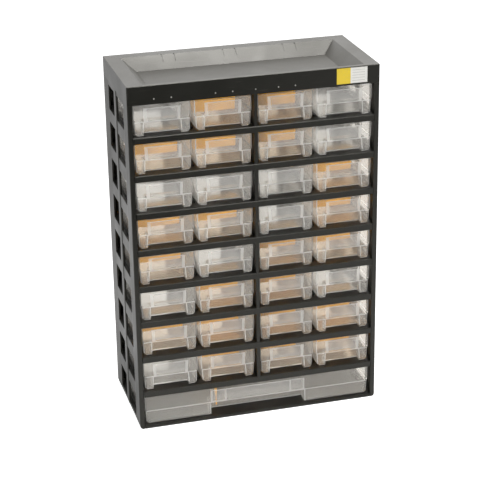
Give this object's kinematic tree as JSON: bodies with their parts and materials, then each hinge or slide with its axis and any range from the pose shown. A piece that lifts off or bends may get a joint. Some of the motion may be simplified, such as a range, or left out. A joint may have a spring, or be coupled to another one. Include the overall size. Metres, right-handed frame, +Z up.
{
  "type": "parts bin cabinet",
  "caption": "Upright plastic parts cabinet with rows of small clear pull-out drawers, one full-width drawer at the bottom and a sunk tray on top.",
  "frame": {"origin": "centre of the base on the surface that the cabinet stands on", "axes": "+Z up, -Y out of the front where the drawers open, +X to the right of someone who faces the front"},
  "size_m": [0.306, 0.138, 0.44],
  "materials": {
    "carcass_plastic": "semi-gloss moulded",
    "clear_plastic": "clear, slightly frosted",
    "plate_plastic": "satin moulded",
    "label": "printed paper"
  },
  "bodies": {
    "cabinet": {"side_panel_left": "carcass_plastic", "side_panel_right": "carcass_plastic", "top_tray": "carcass_plastic", "base_panel": "carcass_plastic", "back_panel": "carcass_plastic", "centre_divider": "carcass_plastic", "fascia_label": "label", "shelf_1": "carcass_plastic", "shelf_2": "carcass_plastic", "shelf_3": "carcass_plastic", "shelf_4": "carcass_plastic", "shelf_5": "carcass_plastic", "shelf_6": "carcass_plastic", "shelf_7": "carcass_plastic", "shelf_8": "carcass_plastic"},
    "drawer_r1_c1": {"drawer_r1_c1": "clear_plastic"},
    "drawer_r1_c2": {"drawer_r1_c2": "clear_plastic"},
    "drawer_r1_c3": {"drawer_r1_c3": "clear_plastic"},
    "drawer_r1_c4": {"drawer_r1_c4": "clear_plastic"},
    "drawer_r2_c1": {"drawer_r2_c1": "clear_plastic"},
    "drawer_r2_c2": {"drawer_r2_c2": "clear_plastic"},
    "drawer_r2_c3": {"drawer_r2_c3": "clear_plastic"},
    "drawer_r2_c4": {"drawer_r2_c4": "clear_plastic"},
    "drawer_r3_c1": {"drawer_r3_c1": "clear_plastic"},
    "drawer_r3_c2": {"drawer_r3_c2": "clear_plastic"},
    "drawer_r3_c3": {"drawer_r3_c3": "clear_plastic"},
    "drawer_r3_c4": {"drawer_r3_c4": "clear_plastic"},
    "drawer_r4_c1": {"drawer_r4_c1": "clear_plastic"},
    "drawer_r4_c2": {"drawer_r4_c2": "clear_plastic"},
    "drawer_r4_c3": {"drawer_r4_c3": "clear_plastic"},
    "drawer_r4_c4": {"drawer_r4_c4": "clear_plastic"},
    "drawer_r5_c1": {"drawer_r5_c1": "clear_plastic"},
    "drawer_r5_c2": {"drawer_r5_c2": "clear_plastic"},
    "drawer_r5_c3": {"drawer_r5_c3": "clear_plastic"},
    "drawer_r5_c4": {"drawer_r5_c4": "clear_plastic"},
    "drawer_r6_c1": {"drawer_r6_c1": "clear_plastic"},
    "drawer_r6_c2": {"drawer_r6_c2": "clear_plastic"},
    "drawer_r6_c3": {"drawer_r6_c3": "clear_plastic"},
    "drawer_r6_c4": {"drawer_r6_c4": "clear_plastic"},
    "drawer_r7_c1": {"drawer_r7_c1": "clear_plastic"},
    "drawer_r7_c2": {"drawer_r7_c2": "clear_plastic"},
    "drawer_r7_c3": {"drawer_r7_c3": "clear_plastic"},
    "drawer_r7_c4": {"drawer_r7_c4": "clear_plastic"},
    "drawer_r8_c1": {"drawer_r8_c1": "clear_plastic"},
    "drawer_r8_c2": {"drawer_r8_c2": "clear_plastic"},
    "drawer_r8_c3": {"drawer_r8_c3": "clear_plastic"},
    "drawer_r8_c4": {"drawer_r8_c4": "clear_plastic"},
    "drawer_bottom": {"drawer_bottom": "clear_plastic", "spare_plate": "plate_plastic"}
  },
  "joints": [
    {"name": "slide_drawer_r1_c1", "type": "slide", "parent": "cabinet", "child": "drawer_r1_c1", "axis": [0, -1, 0], "range_m": [0, 0.1]},
    {"name": "slide_drawer_r1_c2", "type": "slide", "parent": "cabinet", "child": "drawer_r1_c2", "axis": [0, -1, 0], "range_m": [0, 0.1]},
    {"name": "slide_drawer_r1_c3", "type": "slide", "parent": "cabinet", "child": "drawer_r1_c3", "axis": [0, -1, 0], "range_m": [0, 0.1]},
    {"name": "slide_drawer_r1_c4", "type": "slide", "parent": "cabinet", "child": "drawer_r1_c4", "axis": [0, -1, 0], "range_m": [0, 0.1]},
    {"name": "slide_drawer_r2_c1", "type": "slide", "parent": "cabinet", "child": "drawer_r2_c1", "axis": [0, -1, 0], "range_m": [0, 0.1]},
    {"name": "slide_drawer_r2_c2", "type": "slide", "parent": "cabinet", "child": "drawer_r2_c2", "axis": [0, -1, 0], "range_m": [0, 0.1]},
    {"name": "slide_drawer_r2_c3", "type": "slide", "parent": "cabinet", "child": "drawer_r2_c3", "axis": [0, -1, 0], "range_m": [0, 0.1]},
    {"name": "slide_drawer_r2_c4", "type": "slide", "parent": "cabinet", "child": "drawer_r2_c4", "axis": [0, -1, 0], "range_m": [0, 0.1]},
    {"name": "slide_drawer_r3_c1", "type": "slide", "parent": "cabinet", "child": "drawer_r3_c1", "axis": [0, -1, 0], "range_m": [0, 0.1]},
    {"name": "slide_drawer_r3_c2", "type": "slide", "parent": "cabinet", "child": "drawer_r3_c2", "axis": [0, -1, 0], "range_m": [0, 0.1]},
    {"name": "slide_drawer_r3_c3", "type": "slide", "parent": "cabinet", "child": "drawer_r3_c3", "axis": [0, -1, 0], "range_m": [0, 0.1]},
    {"name": "slide_drawer_r3_c4", "type": "slide", "parent": "cabinet", "child": "drawer_r3_c4", "axis": [0, -1, 0], "range_m": [0, 0.1]},
    {"name": "slide_drawer_r4_c1", "type": "slide", "parent": "cabinet", "child": "drawer_r4_c1", "axis": [0, -1, 0], "range_m": [0, 0.1]},
    {"name": "slide_drawer_r4_c2", "type": "slide", "parent": "cabinet", "child": "drawer_r4_c2", "axis": [0, -1, 0], "range_m": [0, 0.1]},
    {"name": "slide_drawer_r4_c3", "type": "slide", "parent": "cabinet", "child": "drawer_r4_c3", "axis": [0, -1, 0], "range_m": [0, 0.1]},
    {"name": "slide_drawer_r4_c4", "type": "slide", "parent": "cabinet", "child": "drawer_r4_c4", "axis": [0, -1, 0], "range_m": [0, 0.1]},
    {"name": "slide_drawer_r5_c1", "type": "slide", "parent": "cabinet", "child": "drawer_r5_c1", "axis": [0, -1, 0], "range_m": [0, 0.1]},
    {"name": "slide_drawer_r5_c2", "type": "slide", "parent": "cabinet", "child": "drawer_r5_c2", "axis": [0, -1, 0], "range_m": [0, 0.1]},
    {"name": "slide_drawer_r5_c3", "type": "slide", "parent": "cabinet", "child": "drawer_r5_c3", "axis": [0, -1, 0], "range_m": [0, 0.1]},
    {"name": "slide_drawer_r5_c4", "type": "slide", "parent": "cabinet", "child": "drawer_r5_c4", "axis": [0, -1, 0], "range_m": [0, 0.1]},
    {"name": "slide_drawer_r6_c1", "type": "slide", "parent": "cabinet", "child": "drawer_r6_c1", "axis": [0, -1, 0], "range_m": [0, 0.1]},
    {"name": "slide_drawer_r6_c2", "type": "slide", "parent": "cabinet", "child": "drawer_r6_c2", "axis": [0, -1, 0], "range_m": [0, 0.1]},
    {"name": "slide_drawer_r6_c3", "type": "slide", "parent": "cabinet", "child": "drawer_r6_c3", "axis": [0, -1, 0], "range_m": [0, 0.1]},
    {"name": "slide_drawer_r6_c4", "type": "slide", "parent": "cabinet", "child": "drawer_r6_c4", "axis": [0, -1, 0], "range_m": [0, 0.1]},
    {"name": "slide_drawer_r7_c1", "type": "slide", "parent": "cabinet", "child": "drawer_r7_c1", "axis": [0, -1, 0], "range_m": [0, 0.1]},
    {"name": "slide_drawer_r7_c2", "type": "slide", "parent": "cabinet", "child": "drawer_r7_c2", "axis": [0, -1, 0], "range_m": [0, 0.1]},
    {"name": "slide_drawer_r7_c3", "type": "slide", "parent": "cabinet", "child": "drawer_r7_c3", "axis": [0, -1, 0], "range_m": [0, 0.1]},
    {"name": "slide_drawer_r7_c4", "type": "slide", "parent": "cabinet", "child": "drawer_r7_c4", "axis": [0, -1, 0], "range_m": [0, 0.1]},
    {"name": "slide_drawer_r8_c1", "type": "slide", "parent": "cabinet", "child": "drawer_r8_c1", "axis": [0, -1, 0], "range_m": [0, 0.1]},
    {"name": "slide_drawer_r8_c2", "type": "slide", "parent": "cabinet", "child": "drawer_r8_c2", "axis": [0, -1, 0], "range_m": [0, 0.1]},
    {"name": "slide_drawer_r8_c3", "type": "slide", "parent": "cabinet", "child": "drawer_r8_c3", "axis": [0, -1, 0], "range_m": [0, 0.1]},
    {"name": "slide_drawer_r8_c4", "type": "slide", "parent": "cabinet", "child": "drawer_r8_c4", "axis": [0, -1, 0], "range_m": [0, 0.1]},
    {"name": "slide_drawer_bottom", "type": "slide", "parent": "cabinet", "child": "drawer_bottom", "axis": [0, -1, 0], "range_m": [0, 0.1]}
  ]
}
